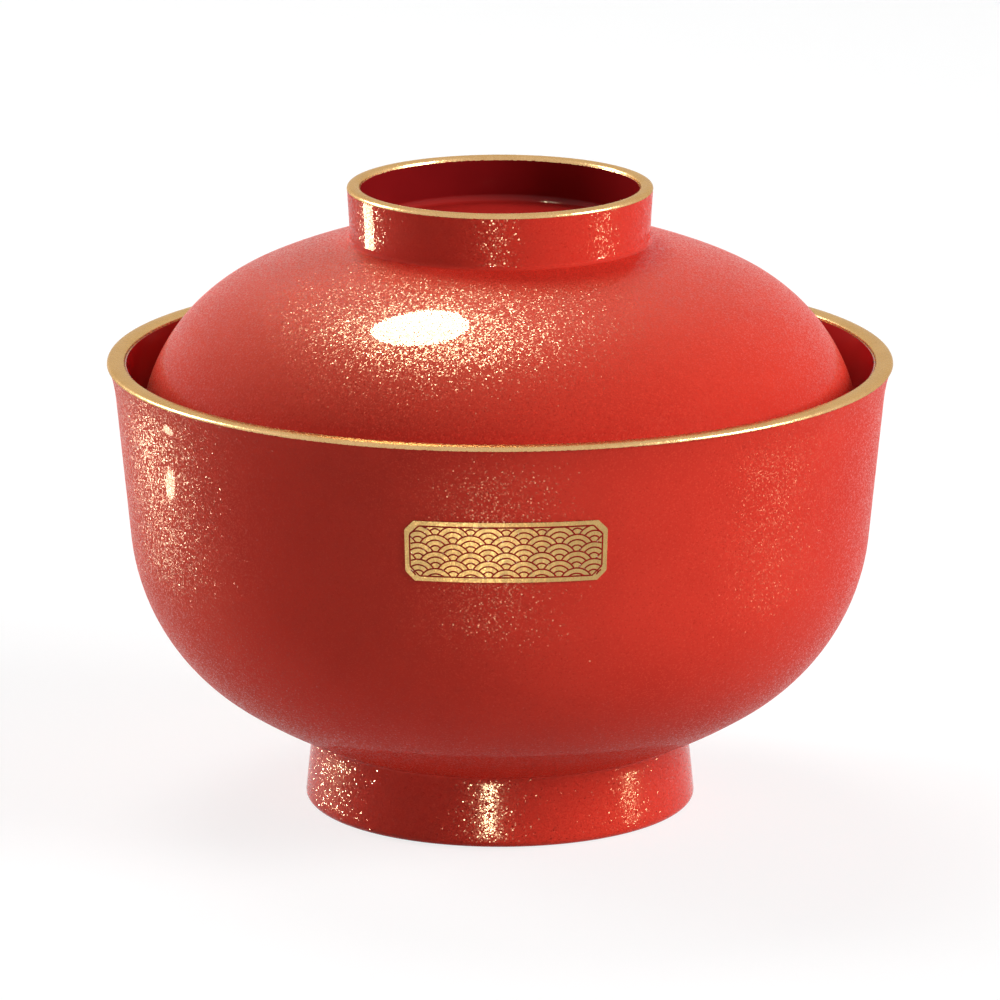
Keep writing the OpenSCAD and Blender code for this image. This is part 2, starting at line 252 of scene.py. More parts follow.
# plain red lacquer; a lighter floor tone, painted light, gives way to the other between two heights
def makePlainLacquer(name, tones, litFloorTones=None, heights=(0.0, 1.0)):
    material, tree, out = startMaterial(name)
    polish = placeGroup(tree, polishGroup, {
        "Cloud Scale": plainFinish["clouds"], "Gloss": plainFinish["gloss"], "Rub": plainFinish["rub"]})
    color = mixColor(tree, polish["Tone"], tones[1], tones[0])
    if litFloorTones:
        place = addNode(tree, "ShaderNodeTexCoord").outputs["Object"]
        climb = addNode(tree, "ShaderNodeMapRange", {
            "Value": addNode(tree, "ShaderNodeSeparateXYZ", {0: place}).outputs[2],
            "From Min": heights[0], "From Max": heights[1]}).outputs[0]
        color = mixColor(tree, climb, mixColor(tree, polish["Tone"], litFloorTones[1], litFloorTones[0]), color)
    shader = addNode(tree, "ShaderNodeBsdfPrincipled", {
        "Base Color": color, "Roughness": polish["Roughness"], "Specular IOR Level": 0.0,
        "Coat Weight": plainFinish["coat"], "Coat Roughness": plainFinish["coatRoughness"],
        "Coat IOR": plainFinish["coatIor"]})
    tree.links.new(shader.outputs[0], out.inputs["Surface"])
    return material


goldFinish = {
    "band": ((0.72, 0.46, 0.215), (0.56, 0.33, 0.135)),
    "panel": ((0.50, 0.335, 0.135), (0.37, 0.222, 0.080)),
    "under": (0.42, 0.016, 0.010), "edgeTint": (0.80, 0.68, 0.50),
    "grain": {"Flake Size": 0.00016, "Coverage": 1.0, "Tilt": 0.09, "Lean": 0.0}, "grainShare": 0.55,
    "clouds": 160.0, "rubScale": 1500.0, "rub": 0.22, "roughness": 0.26,
    "breakUp": 0.12 * mm, "raggedScale": 1900.0, "raggedDetail": 2.0, "raggedMiddle": 0.42,
    "raggedGain": 3.0}


# gold powder on lacquer; it breaks up into the red towards edgeHeight
def makeGold(name, tones, edgeHeight=None):
    material, tree, out = startMaterial(name)
    grain = placeGroup(tree, flakeGroup, goldFinish["grain"])
    polish = placeGroup(tree, polishGroup, {
        "Cloud Scale": goldFinish["clouds"], "Rub Scale": goldFinish["rubScale"],
        "Gloss": goldFinish["roughness"], "Rub": goldFinish["rub"]})
    tone = calc(tree, "ADD", calc(tree, "MULTIPLY", grain["Shade"], goldFinish["grainShare"]),
                calc(tree, "MULTIPLY", polish["Tone"], 1.0 - goldFinish["grainShare"]))
    color = mixColor(tree, tone, tones[1], tones[0])
    shader = addNode(tree, "ShaderNodeBsdfPrincipled", {
        "Base Color": color, "Metallic": 1.0, "Roughness": polish["Roughness"], "Normal": grain["Normal"],
        "Specular Tint": (*goldFinish["edgeTint"], 1.0)})
    if edgeHeight is not None:
        place = addNode(tree, "ShaderNodeTexCoord").outputs["Object"]
        height = addNode(tree, "ShaderNodeSeparateXYZ", {0: place}).outputs[2]
        rise = calc(tree, "DIVIDE", calc(tree, "SUBTRACT", height, edgeHeight), goldFinish["breakUp"])
        ragged = addNode(tree, "ShaderNodeTexNoise", {
            "Vector": place, "Scale": goldFinish["raggedScale"],
            "Detail": goldFinish["raggedDetail"]}).outputs[0]
        ragged = calc(tree, "SUBTRACT", ragged, goldFinish["raggedMiddle"])
        kept = calc(tree, "GREATER_THAN", rise, calc(tree, "MULTIPLY", ragged, goldFinish["raggedGain"]))
        tree.links.new(mixColor(tree, kept, goldFinish["under"], color), shader.inputs["Base Color"])
        tree.links.new(kept, shader.inputs["Metallic"])
    tree.links.new(shader.outputs[0], out.inputs["Surface"])
    return material


woodFinish = {
    "pale": (0.56, 0.36, 0.19), "dark": (0.33, 0.18, 0.08), "rings": 190.0, "wander": 6.0, "detail": 3.0,
    "detailScale": 0.6, "roughness": 0.6, "rub": 0.2}


# turned wood, seen only where the lacquer is cut away
def makeWood(name):
    material, tree, out = startMaterial(name)
    place = addNode(tree, "ShaderNodeTexCoord").outputs["Object"]
    grain = addNode(tree, "ShaderNodeTexWave", {
        "Vector": place, "Scale": woodFinish["rings"], "Distortion": woodFinish["wander"],
        "Detail": woodFinish["detail"], "Detail Scale": woodFinish["detailScale"]},
        wave_type="RINGS", rings_direction="X").outputs["Fac"]
    polish = placeGroup(tree, polishGroup, {"Gloss": woodFinish["roughness"], "Rub": woodFinish["rub"]})
    shader = addNode(tree, "ShaderNodeBsdfPrincipled", {
        "Base Color": mixColor(tree, grain, woodFinish["pale"], woodFinish["dark"]),
        "Roughness": polish["Roughness"]})
    tree.links.new(shader.outputs[0], out.inputs["Surface"])
    return material


seamMerge = 0.002 * mm  # points closer than this join, at the seam and on the axis


# lathe: a profile in the xz plane goes round the z axis
def buildLathe():
    tree, given, put = startGroup(
        "turnedShell", "GeometryNodeTree",
        [("Profile", "NodeSocketGeometry"), ("Steps Round", "NodeSocketInt", 240),
         ("Waver", "NodeSocketFloat", 0.0), ("Waver Scale", "NodeSocketFloat", 70.0),
         ("Sharp Angle", "NodeSocketFloat", 0.6), ("Finish", "NodeSocketMaterial")],
        [("Shell", "NodeSocketGeometry")])
    count = addNode(tree, "GeometryNodeAttributeDomainSize", {
        "Geometry": given["Profile"]}).outputs["Point Count"]
    grid = addNode(tree, "GeometryNodeMeshGrid", {
        "Size X": 1.0, "Size Y": 1.0, "Vertices X": count,
        "Vertices Y": calc(tree, "ADD", given["Steps Round"], 1.0)}).outputs["Mesh"]
    place = addNode(tree, "GeometryNodeInputPosition").outputs[0]
    across = addNode(tree, "ShaderNodeSeparateXYZ", {0: place}).outputs
    along = calc(tree, "MULTIPLY", calc(tree, "ADD", across[0], 0.5), calc(tree, "SUBTRACT", count, 1.0))
    sample = addNode(tree, "GeometryNodeSampleIndex", {
        "Geometry": given["Profile"], "Index": calc(tree, "ROUND", along)},
        data_type="FLOAT_VECTOR", domain="POINT")
    tree.links.new(place, next(s for s in sample.inputs if s.name == "Value" and s.enabled))
    point = addNode(tree, "ShaderNodeSeparateXYZ", {
        0: next(s for s in sample.outputs if s.enabled)}).outputs
    angle = calc(tree, "MULTIPLY", calc(tree, "ADD", across[1], 0.5), -2.0 * math.pi)
    turned = addNode(tree, "ShaderNodeCombineXYZ", {
        0: calc(tree, "MULTIPLY", point[0], calc(tree, "COSINE", angle)),
        1: calc(tree, "MULTIPLY", point[0], calc(tree, "SINE", angle)), 2: point[2]}).outputs[0]
    shell = addNode(tree, "GeometryNodeSetPosition", {"Geometry": grid, "Position": turned}).outputs[0]
    shell = addNode(tree, "GeometryNodeMergeByDistance", {
        "Geometry": shell, "Distance": seamMerge}).outputs[0]
    ripple = addNode(tree, "ShaderNodeTexNoise", {
        "Vector": place, "Scale": given["Waver Scale"], "Detail": 1.0}).outputs[0]
    lift = calc(tree, "MULTIPLY", calc(tree, "SUBTRACT", ripple, 0.5), given["Waver"])
    shell = addNode(tree, "GeometryNodeSetPosition", {
        "Geometry": shell,
        "Offset": scaled(tree, addNode(tree, "GeometryNodeInputNormal").outputs[0], lift)}).outputs[0]
    bend = addNode(tree, "GeometryNodeInputMeshEdgeAngle").outputs[0]
    shell = addNode(tree, "GeometryNodeSetShadeSmooth", {
        "Geometry": shell, "Shade Smooth": True}, domain="FACE").outputs[0]
    shell = addNode(tree, "GeometryNodeSetShadeSmooth", {
        "Geometry": shell, "Selection": calc(tree, "GREATER_THAN", bend, given["Sharp Angle"]),
        "Shade Smooth": False}, domain="EDGE").outputs[0]
    return finishTree(tree, given, put, shell)


latheTree = buildLathe()


def turnPiece(name, profile, finish, closed=True, **values):
    if closed:
        profile = profile + profile[:1]
    points = [(r * mm, 0.0, z * mm) for r, z in profile]
    piece = newPiece(name, points, [(i, i + 1) for i in range(len(points) - 1)])
    return runTree(piece, latheTree, {"Finish": finish, **values})


def seat(piece, body, slot, *nodes):
    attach(piece, body)
    if nodes:
        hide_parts(*nodes)


# fineness: degrees for each step of an arc, and the longest face along a profile in millimetres
arcStep = {
    "wall": 2.0, "dish": 1.0, "band": 2.5, "edge": 10.0, "fillet": 12.0, "hiddenEdge": 15.0,
    "shoulder": 1.0, "crown": 0.35, "crownInside": 0.7}
fewestSteps = 3  # in any arc
faceLength = {"shown": 1.0, "lining": 1.2, "hidden": 3.0, "small": 0.8, "band": 0.6, "base": 1.5}


# profile helpers: points are (radius, height) in millimetres, angles in degrees

def arcLine(centre, radius, start, end, step=arcStep["wall"]):
    steps = max(fewestSteps, math.ceil(abs(end - start) / step))
    turns = [math.radians(start + (end - start) * i / steps) for i in range(steps + 1)]
    return [(centre[0] + radius * math.cos(a), centre[1] + radius * math.sin(a)) for a in turns]


def fillLine(points, longest):
    filled = points[:1]
    for end in points[1:]:
        start = Vector(filled[-1])
        gap = Vector(end) - start
        steps = max(1, math.ceil(gap.length / longest))
        filled += [tuple(start + gap * i / steps) for i in range(1, steps + 1)]
    return filled


def heading(start, end):
    return math.degrees(math.atan2(end[1] - start[1], end[0] - start[0]))


def sinDeg(a):
    return math.sin(math.radians(a))


def cosDeg(a):
    return math.cos(math.radians(a))


def acosDeg(x):
    return math.degrees(math.acos(x))


def asinDeg(x):
    return math.degrees(math.asin(x))


# lacquer and gold, on bowl and lid alike
layerShape = {
    "coat": 0.3, "waver": 0.030, "waverScale": 60.0, "gold": 0.65, "goldEdge": 0.55, "goldSwell": 0.2}

bowlShape = {
    "rimRadius": 60.0, "height": 69.6, "wall": 2.6, "lean": 5.5, "lipHeight": 6.0, "lipRadius": 25.0,
    "bellyRadius": 33.3, "baseRadius": 76.0, "basePole": 5.0, "hollowBelly": 28.0, "hollowRadius": 90.0,
    "hollowPole": 12.5, "footNeck": 29.0,
    "flakes": {"Flake Size": 0.00022, "Coverage": 0.48, "Tilt": 0.22, "Lean": 0.11, "Gather": 0.8},
    "flakeRoughness": 0.28}

coat = layerShape["coat"]
waver = {"Waver": layerShape["waver"] * mm, "Waver Scale": layerShape["waverScale"]}
lean = bowlShape["lean"]
wallUp = Vector((sinDeg(lean), cosDeg(lean)))
wallIn = Vector((-cosDeg(lean), sinDeg(lean)))
lipEnd = asinDeg(sinDeg(lean) + bowlShape["lipHeight"] / bowlShape["lipRadius"])
lipRoot = Vector((bowlShape["rimRadius"] - bowlShape["lipRadius"] * (cosDeg(lean) - cosDeg(lipEnd)),
                  bowlShape["height"] - bowlShape["lipHeight"]))
lipCentre = lipRoot - bowlShape["lipRadius"] * wallIn
goldLow = bowlShape["height"] - layerShape["gold"]


# centre of the round between the leaning wall and a dish
def roundCentre(depth, radius, dishCentre, dishRadius):
    offset = lipRoot + (depth + radius) * wallIn - dishCentre
    slide = offset.dot(wallUp)
    reach = dishRadius - radius
    drop = slide + math.sqrt(slide ** 2 - offset.dot(offset) + reach ** 2)
    return dishCentre + offset - drop * wallUp


baseCentre = Vector((0.0, bowlShape["basePole"] + bowlShape["baseRadius"]))
bellyCentre = roundCentre(0.0, bowlShape["bellyRadius"], baseCentre, bowlShape["baseRadius"])
hollowCentre = Vector((0.0, bowlShape["hollowPole"] + bowlShape["hollowRadius"]))
hollowBelly = roundCentre(
    bowlShape["wall"], bowlShape["hollowBelly"], hollowCentre, bowlShape["hollowRadius"])


def lipAngle(z, depth):
    return 180.0 - asinDeg((z - lipCentre.y) / (bowlShape["lipRadius"] + depth))


def lipRadiusAt(z, depth):
    return lipCentre.x + (bowlShape["lipRadius"] + depth) * cosDeg(lipAngle(z, depth))


def wallRadiusAt(z):
    return lipRoot.x - (lipRoot.y - z) * math.tan(math.radians(lean))


def bowlOutside(depth, startRadius):
    radius, belly = bowlShape["baseRadius"] - depth, bowlShape["bellyRadius"] - depth
    meet = heading(baseCentre, bellyCentre)
    return (arcLine(baseCentre, radius, -acosDeg(startRadius / radius), meet, arcStep["dish"])
            + arcLine(bellyCentre, belly, meet, -lean)[1:]
            + arcLine(lipCentre, bowlShape["lipRadius"] + depth, 180.0 - lean, lipAngle(goldLow, depth)))


def bowlInside(depth):
    radius, belly = bowlShape["hollowRadius"] + depth, bowlShape["hollowBelly"] + depth
    meet = heading(hollowCentre, hollowBelly)
    lip = bowlShape["lipRadius"] + bowlShape["wall"] - depth
    return (arcLine(hollowCentre, radius, -90.0, meet, arcStep["dish"])
            + arcLine(hollowBelly, belly, meet, -lean)[1:]
            + arcLine(lipCentre, lip, 180.0 - lean, lipAngle(goldLow, bowlShape["wall"] - depth)))


# bowl: flake lacquer outside, plain lacquer in the hollow, gold over the lip
footNeck = bowlShape["footNeck"]
bowlLacquer = turnPiece(
    "bowlLacquer",
    fillLine(bowlOutside(0.0, footNeck - coat), faceLength["shown"])
    + fillLine(bowlOutside(coat, footNeck - coat)[::-1], faceLength["hidden"]),
    makeFlakeLacquer("bowlFlakeLacquer", bowlShape["flakes"], bowlShape["flakeRoughness"]), **waver)
seat(bowlLacquer, "bowl", "flake_lacquer", "bowl_coat")

bowlLining = turnPiece(
    "bowlLining",
    fillLine(bowlInside(coat), faceLength["hidden"])
    + fillLine(bowlInside(0.0)[::-1], faceLength["lining"]),
    makePlainLacquer("bowlLiningLacquer", plainFinish["lining"]), closed=False, **waver)
seat(bowlLining, "bowl", "plain_lacquer", "bowl_lining")


# gold band: its top swells a little between two rounded edges
def bandProfile(top, outer, inner, lowOuter, lowInner):
    edge, swell = layerShape["goldEdge"], layerShape["goldSwell"]
    low = top - layerShape["gold"]
    half = (outer - inner) / 2.0
    radius = (half ** 2 + swell ** 2) / (2.0 * swell)
    tip = asinDeg((half - edge) / (radius - edge))
    centre = ((outer + inner) / 2.0, top - radius)
    turn = (radius - edge) * cosDeg(tip) + centre[1]
    return fillLine(
        [(lowOuter, low)]
        + arcLine((outer - edge, turn), edge, 0.0, 90.0 - tip, arcStep["fillet"])
        + arcLine(centre, radius, 90.0 - tip, 90.0 + tip, arcStep["band"])[1:-1]
        + arcLine((inner + edge, turn), edge, 90.0 + tip, 180.0, arcStep["fillet"])
        + [(lowInner, low)], faceLength["band"])


rimGold = turnPiece(
    "rimGold",
    bandProfile(bowlShape["height"], bowlShape["rimRadius"],
                lipRadiusAt(bowlShape["height"], bowlShape["wall"]),
                lipRadiusAt(goldLow, 0.0), lipRadiusAt(goldLow, bowlShape["wall"])),
    makeGold("rimGoldPowder", goldFinish["band"], goldLow * mm))
seat(rimGold, "bowl", "gold", "rim_band")


# foot: flake lacquer from a small fillet under the bowl round the standing edge into the well
footShape = {
    "radius": 30.0, "inRadius": 25.5, "edge": 1.0, "wellHeight": 6.5, "fillet": 0.7, "filletOut": 0.04,
    "flakes": {"Flake Size": 0.00020, "Coverage": 1.0, "Reach": 0.8, "Tilt": 0.30, "Lean": 0.072,
               "Gather": 3.0},
    "flakeRoughness": 0.145}


def footProfile():
    edge, fillet = footShape["edge"], footShape["fillet"]
    outer, inner, well = footShape["radius"], footShape["inRadius"], footShape["wellHeight"]
    centreRadius = footNeck + fillet + footShape["filletOut"]
    rise = math.sqrt((bowlShape["baseRadius"] + fillet) ** 2 - centreRadius ** 2)
    centre = (centreRadius, baseCentre.y - rise)
    outside = (arcLine(centre, fillet, heading(centre, baseCentre), 180.0, arcStep["fillet"])
               + arcLine((outer - edge, edge), edge, 0.0, -90.0, arcStep["edge"])
               + arcLine((inner + edge, edge), edge, -90.0, -180.0, arcStep["edge"]) + [(inner, well)])
    inside = ([(inner + coat, well)]
              + arcLine((inner + edge, edge), edge - coat, -180.0, -90.0, arcStep["hiddenEdge"])
              + arcLine((outer - edge, edge), edge - coat, -90.0, 0.0, arcStep["hiddenEdge"])
              + [(footNeck - coat, centre[1] + fillet / 2.0)])
    return fillLine(outside + inside, faceLength["shown"])


footLacquer = turnPiece("footLacquer", footProfile()[::-1], makeFlakeLacquer(
    "footFlakeLacquer", footShape["flakes"], footShape["flakeRoughness"]))
seat(footLacquer, "bowl", "flake_lacquer", "foot_coat")

baseLow = footShape["wellHeight"]
baseReach = footShape["inRadius"] + coat
baseLacquer = turnPiece(
    "baseLacquer",
    fillLine([(0.0, baseLow), (baseReach, baseLow), (baseReach, baseLow + coat), (0.0, baseLow + coat)],
             faceLength["base"]),
    makePlainLacquer("baseLacquerRed", plainFinish["base"]), closed=False)
seat(baseLacquer, "bowl", "plain_lacquer", "base_coat")


# lid: flake lacquer over the dome and under its edge, plain lacquer inside
lidShape = {
    "drop": 6.0, "gap": 0.3, "wall": 3.2, "lean": 7.0, "skirt": 2.7, "shoulder": 28.1, "crown": 94.5,
    "edge": 0.8, "seamEase": 4.0, "easeFade": 20.0,
    "flakes": {"Flake Size": 0.00022, "Coverage": 0.75, "Tilt": 0.24, "Lean": 0.07}, "flakeRoughness": 0.28}

lidLean = lidShape["lean"]
lidSeat = lipRoot.y - lidShape["drop"]
lidEdge = Vector((wallRadiusAt(lidSeat) - bowlShape["wall"] / cosDeg(lean) - lidShape["gap"], lidSeat))
shoulderCentre = (lidEdge + lidShape["skirt"] * Vector((-sinDeg(lidLean), cosDeg(lidLean)))
                  - lidShape["shoulder"] * Vector((cosDeg(lidLean), sinDeg(lidLean))))
crownCentre = Vector((0.0, shoulderCentre.y - math.sqrt(
    (lidShape["crown"] - lidShape["shoulder"]) ** 2 - shoulderCentre.x ** 2)))
crownMeet = heading(crownCentre, shoulderCentre)


def skirtRadius(z, depth):
    return lidEdge.x - (z - lidEdge.y) * math.tan(math.radians(lidLean)) - depth / cosDeg(lidLean)


def crownHeight(radius):
    return crownCentre.y + math.sqrt(lidShape["crown"] ** 2 - radius ** 2)


# how far the face lies inside its two arcs: the bend changes evenly over their seam, a cubic in the run
def seamDip(run):
    ease, fade = lidShape["seamEase"], lidShape["easeFade"]
    change = (1.0 / lidShape["shoulder"] - 1.0 / lidShape["crown"]) / (12.0 * ease)
    if run <= 0.0:
        return change * max(run + ease, 0.0) ** 3
    dip = change * (2.0 * ease ** 3 - max(ease - run, 0.0) ** 3)
    return dip * (1.0 + cosDeg(180.0 * min(max(run - ease, 0.0) / fade, 1.0))) / 2.0


def easedArc(centre, radius, start, end, step):
    eased = []
    for point in arcLine(centre, radius, start, end, step):
        run = math.radians(crownMeet - heading(centre, point)) * radius
        out = (Vector(point) - Vector(centre)) / radius
        eased.append(tuple(Vector(point) - seamDip(run) * out))
    return eased


def lidOutside(depth, endRadius):
    edge = lidShape["edge"]
    edgeCentre = (skirtRadius(lidEdge.y + edge, edge), lidEdge.y + edge)
    shoulder, crown = lidShape["shoulder"] - depth, lidShape["crown"] - depth
    return (arcLine(edgeCentre, edge - depth, -90.0, lidLean, arcStep["edge"])
            + easedArc(shoulderCentre, shoulder, lidLean, crownMeet, arcStep["shoulder"])
            + easedArc(crownCentre, crown, crownMeet, acosDeg(endRadius / crown), arcStep["crown"])[1:])


def lidInside(depth, startHeight):
    return ([(skirtRadius(startHeight, depth), startHeight)]
            + arcLine(shoulderCentre, lidShape["shoulder"] - depth, lidLean, crownMeet)
            + arcLine(crownCentre, lidShape["crown"] - depth, crownMeet, 90.0, arcStep["crownInside"])[1:])


gripShape = {
    "radius": 23.3, "neck": 22.8, "height": 8.4, "wall": 2.0, "floor": 1.8, "fillet": 0.7,
    "filletOut": 0.04, "wellFillet": 1.2,
    "flakes": {"Flake Size": 0.00022, "Coverage": 0.62, "Tilt": 0.17, "Lean": 0.05, "Gather": 0.5},
    "flakeRoughness": 0.18}
gripJoint = crownHeight(gripShape["neck"])
gripTop = gripJoint + gripShape["height"]
gripGoldLow = gripTop - layerShape["gold"]
gripFloor = crownCentre.y + lidShape["crown"] - lidShape["wall"] + gripShape["floor"]

edgeIn = skirtRadius(lidEdge.y, lidShape["wall"])
liningStart = lidEdge.y + coat
crownEnd = gripShape["neck"] - coat
lidLacquer = turnPiece(
    "lidLacquer",
    fillLine([(edgeIn, lidEdge.y)] + lidOutside(0.0, crownEnd), faceLength["shown"])
    + fillLine(lidOutside(coat, crownEnd)[::-1] + [(edgeIn, liningStart)], faceLength["hidden"]),
    makeFlakeLacquer("lidFlakeLacquer", lidShape["flakes"], lidShape["flakeRoughness"]), **waver)
seat(lidLacquer, "lid", "flake_lacquer", "lid_coat")

lidLining = turnPiece(
    "lidLining",
    fillLine(lidInside(lidShape["wall"] - coat, liningStart), faceLength["hidden"])
    + fillLine(lidInside(lidShape["wall"], liningStart)[::-1], faceLength["lining"]),
    makePlainLacquer("lidLiningLacquer", plainFinish["lining"]), **waver)
seat(lidLining, "lid", "plain_lacquer", "lid_lining")


# grip ring: flake lacquer with a fillet on the dome, a plain lacquered well with painted shade on its wall
# and painted light on its floor, gold over the top
def gripRadiusAt(z):
    flare = (gripShape["radius"] - gripShape["neck"]) / gripShape["height"]
    return gripShape["neck"] + flare * (z - gripJoint)


def gripProfile():
    fillet = gripShape["fillet"]
    centreRadius = gripShape["neck"] + fillet + gripShape["filletOut"]
    rise = math.sqrt((lidShape["crown"] + fillet) ** 2 - centreRadius ** 2)
    centre = (centreRadius, crownCentre.y + rise)
    toe = heading(centre, crownCentre) % 360.0
    top = gripRadiusAt(gripGoldLow)
    return fillLine(
        arcLine(centre, fillet, toe, 180.0, arcStep["fillet"])
        + [(top, gripGoldLow), (top - coat, gripGoldLow), (crownEnd, gripJoint)], faceLength["small"])


gripLacquer = turnPiece("gripLacquer", gripProfile(), makeFlakeLacquer(
    "gripFlakeLacquer", gripShape["flakes"], gripShape["flakeRoughness"]))
seat(gripLacquer, "lid", "flake_lacquer", "grip_coat")


def gripWellProfile():
    fillet = gripShape["wellFillet"]
    low = gripRadiusAt(gripFloor) - gripShape["wall"]
    top = gripRadiusAt(gripGoldLow) - gripShape["wall"]
    corner = (low - fillet, gripFloor + fillet)
    return fillLine(
        [(0.0, gripFloor - coat), (low + coat, gripFloor - coat), (top + coat, gripGoldLow),
         (top, gripGoldLow)]
        + arcLine(corner, fillet, 0.0, -90.0, arcStep["fillet"]) + [(0.0, gripFloor)], faceLength["small"])


# between these heights the painted light on the well floor gives way to the painted shade of the well wall
wellLightFade = (gripFloor * mm, (gripFloor + gripShape["wellFillet"]) * mm)
gripLining = turnPiece(
    "gripLining", gripWellProfile(),
    makePlainLacquer("gripLiningShadeAndLight", plainFinish["well"], plainFinish["wellFloorLight"], wellLightFade),
    closed=False)
seat(gripLining, "lid", "plain_lacquer", "grip_lining")

gripBandLow = gripRadiusAt(gripGoldLow)
gripGold = turnPiece(
    "gripGold",
    bandProfile(gripTop, gripShape["radius"], gripShape["radius"] - gripShape["wall"],
                gripBandLow, gripBandLow - gripShape["wall"]),
    makeGold("gripGoldPowder", goldFinish["band"], gripGoldLow * mm))
seat(gripGold, "lid", "gold", "grip_band")


# wood under the lacquer
turnedWood = makeWood("turnedWood")
for nodeName in ("bowl_core", "foot_ring", "lid_core", "grip_ring"):
    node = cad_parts[nodeName]
    node.data.materials.clear()
    node.data.materials.append(turnedWood)
print("wood cores dressed")


# front panel: a thin gold plate with cut corners, wave scales drawn on it in red lacquer
panelShape = {
    "Width": 30.0, "Height": 9.2, "Corner": 1.4, "Middle": 53.3, "Gap": 0.05, "Thickness": 0.15,
    "Wave Radius": 2.6, "Line Width": 0.24, "Line Rise": 0.05, "Border": 0.75}
plateGrid = {"Vertices X": 121, "Vertices Y": 2, "Vertices Z": 37}
# rings are the radii in one scale and rise the step from row to row, as shares of the wave radius
waveGrid = {
    "rings": (1.0, 0.68, 0.36), "rise": 0.5, "columns": 9, "rows": 11, "ringPoints": 28, "fewestPoints": 3,
    "borderPoints": 220, "sectionPoints": 8}
panelTop = panelShape["Middle"] + panelShape["Height"] / 2.0


# lays flat panel space on the leaning wall; there x goes round, -y outwards and z up from the middle
def bendOnWall(tree, given, geometry):
    place = splitPlace(tree)
    height = calc(tree, "ADD", place[2], given["Middle"])
    wall = calc(tree, "MULTIPLY_ADD", height, math.tan(math.radians(lean)), wallRadiusAt(0.0) * mm)
    radius = calc(tree, "SUBTRACT", wall, place[1])
    angle = calc(tree, "DIVIDE", place[0], wallRadiusAt(panelTop) * mm)
    bent = addNode(tree, "ShaderNodeCombineXYZ", {
        0: calc(tree, "MULTIPLY", radius, calc(tree, "SINE", angle)),
        1: calc(tree, "MULTIPLY", radius, calc(tree, "SUBTRACT", 0.0, calc(tree, "COSINE", angle))),
        2: height}).outputs[0]
    return addNode(tree, "GeometryNodeSetPosition", {"Geometry": geometry, "Position": bent}).outputs[0]


# half length of the plate at a height over its middle, shorter at the cut corners
def plateReach(tree, given, height):
    straight = calc(tree, "SUBTRACT", calc(tree, "MULTIPLY", given["Height"], 0.5), given["Corner"])
    over = calc(tree, "SUBTRACT", calc(tree, "ABSOLUTE", height), straight)
    half = calc(tree, "MULTIPLY", given["Width"], 0.5)
    return calc(tree, "SUBTRACT", half, calc(tree, "MAXIMUM", over, 0.0))


def panelSockets(*labels):
    return ([("Start", "NodeSocketGeometry")] + [(label, "NodeSocketFloat") for label in labels]
            + [("Finish", "NodeSocketMaterial")])


def buildPlateTree():
    tree, given, put = startGroup(
        "bentPlate", "GeometryNodeTree",
        panelSockets("Width", "Height", "Corner", "Middle", "Gap", "Thickness"),
        [("Plate", "NodeSocketGeometry")])
    block = addNode(tree, "GeometryNodeMeshCube", {
        "Size": (2.0, 1.0, 2.0), **plateGrid}).outputs["Mesh"]
    place = splitPlace(tree)
    height = calc(tree, "MULTIPLY", calc(tree, "MULTIPLY", place[2], 0.5), given["Height"])
    layer = calc(tree, "SUBTRACT", 0.5, place[1])
    depth = calc(tree, "MULTIPLY_ADD", layer, given["Thickness"], given["Gap"])
    flat = addNode(tree, "ShaderNodeCombineXYZ", {
        0: calc(tree, "MULTIPLY", place[0], plateReach(tree, given, height)),
        1: calc(tree, "SUBTRACT", 0.0, depth), 2: height}).outputs[0]
    plate = addNode(tree, "GeometryNodeSetPosition", {"Geometry": block, "Position": flat}).outputs[0]
    return finishTree(tree, given, put, bendOnWall(tree, given, plate))


